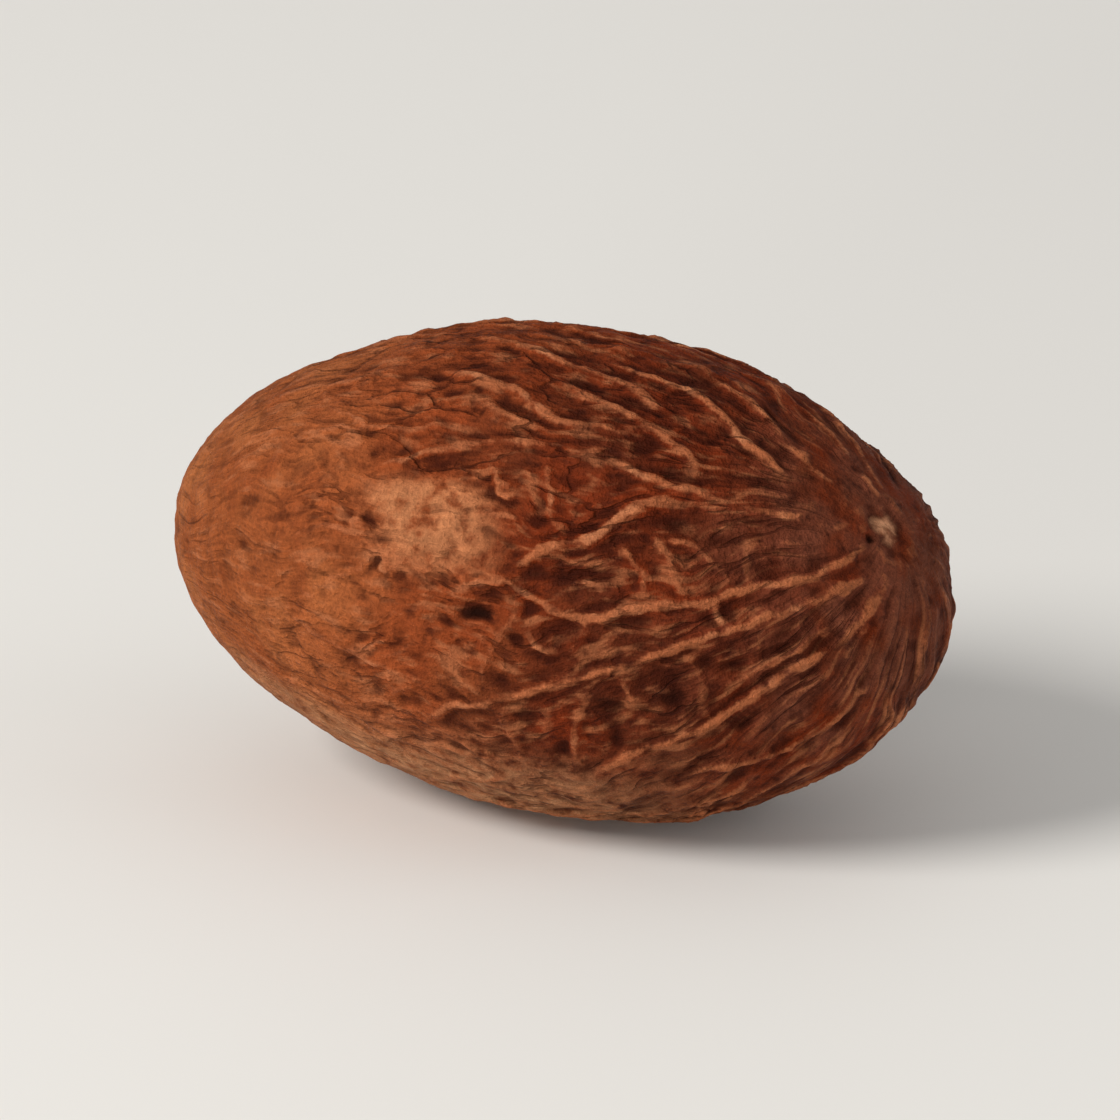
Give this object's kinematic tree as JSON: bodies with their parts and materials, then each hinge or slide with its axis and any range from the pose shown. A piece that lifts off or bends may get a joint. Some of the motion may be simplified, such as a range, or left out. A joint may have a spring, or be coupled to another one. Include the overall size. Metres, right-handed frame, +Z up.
{
  "type": "whole nutmeg",
  "caption": "Whole dried nutmeg kernel: an egg-shaped seed with a net of raised veins that meet at the hilum, lying on its side on a small flat spot.",
  "frame": {"origin": "middle of the base under the kernel, on the surface it rests on", "axes": "+X along the seed towards its blunt end, where the hilum is; -Y to the front, the side the picture shows; +Z up"},
  "size_m": [0.0291, 0.0178, 0.0171],
  "materials": {
    "seed_coat": "dry matt brown with a faint sheen, paler on the veins"
  },
  "bodies": {
    "root": {"nutmeg": "seed_coat"}
  },
  "joints": []
}
